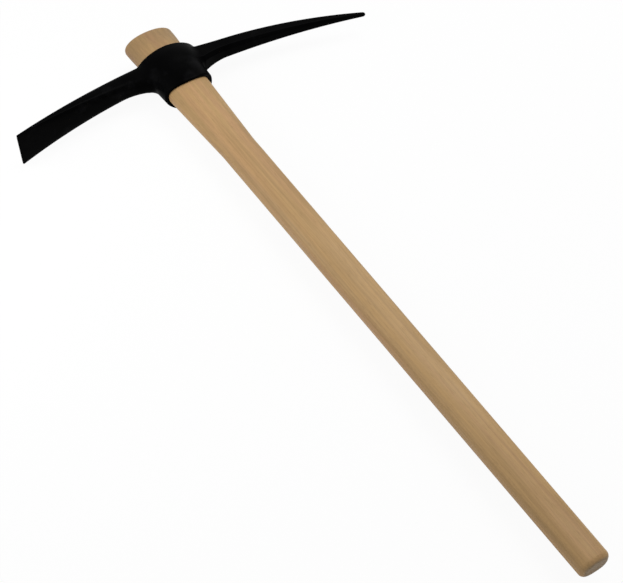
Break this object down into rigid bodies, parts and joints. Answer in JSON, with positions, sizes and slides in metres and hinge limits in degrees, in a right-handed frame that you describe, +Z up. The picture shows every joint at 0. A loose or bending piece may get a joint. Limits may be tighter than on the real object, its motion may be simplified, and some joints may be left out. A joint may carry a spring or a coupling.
{
  "type": "pick axe",
  "caption": "Pick axe: black forged head with a pointed arm and a flat chisel arm, jammed on the swelled upper end of a straight wooden handle.",
  "frame": {"origin": "middle of the butt's flat end face", "axes": "+Y along the handle from the butt to the head, +X along the pick arm, +Z up through the cheek with the tool lying flat"},
  "size_m": [0.4903, 0.9, 0.0554],
  "materials": {
    "wood": "sanded, lightly oiled, fine straight grain",
    "black_paint": "semi-gloss black paint over a forged surface"
  },
  "bodies": {
    "handle": {"handle": "wood"},
    "head": {"pick_head": "black_paint"}
  },
  "joints": [
    {"name": "head_slide", "type": "slide", "parent": "handle", "child": "head", "axis": [0, -1, 0], "range_m": [0, 0.9]}
  ]
}
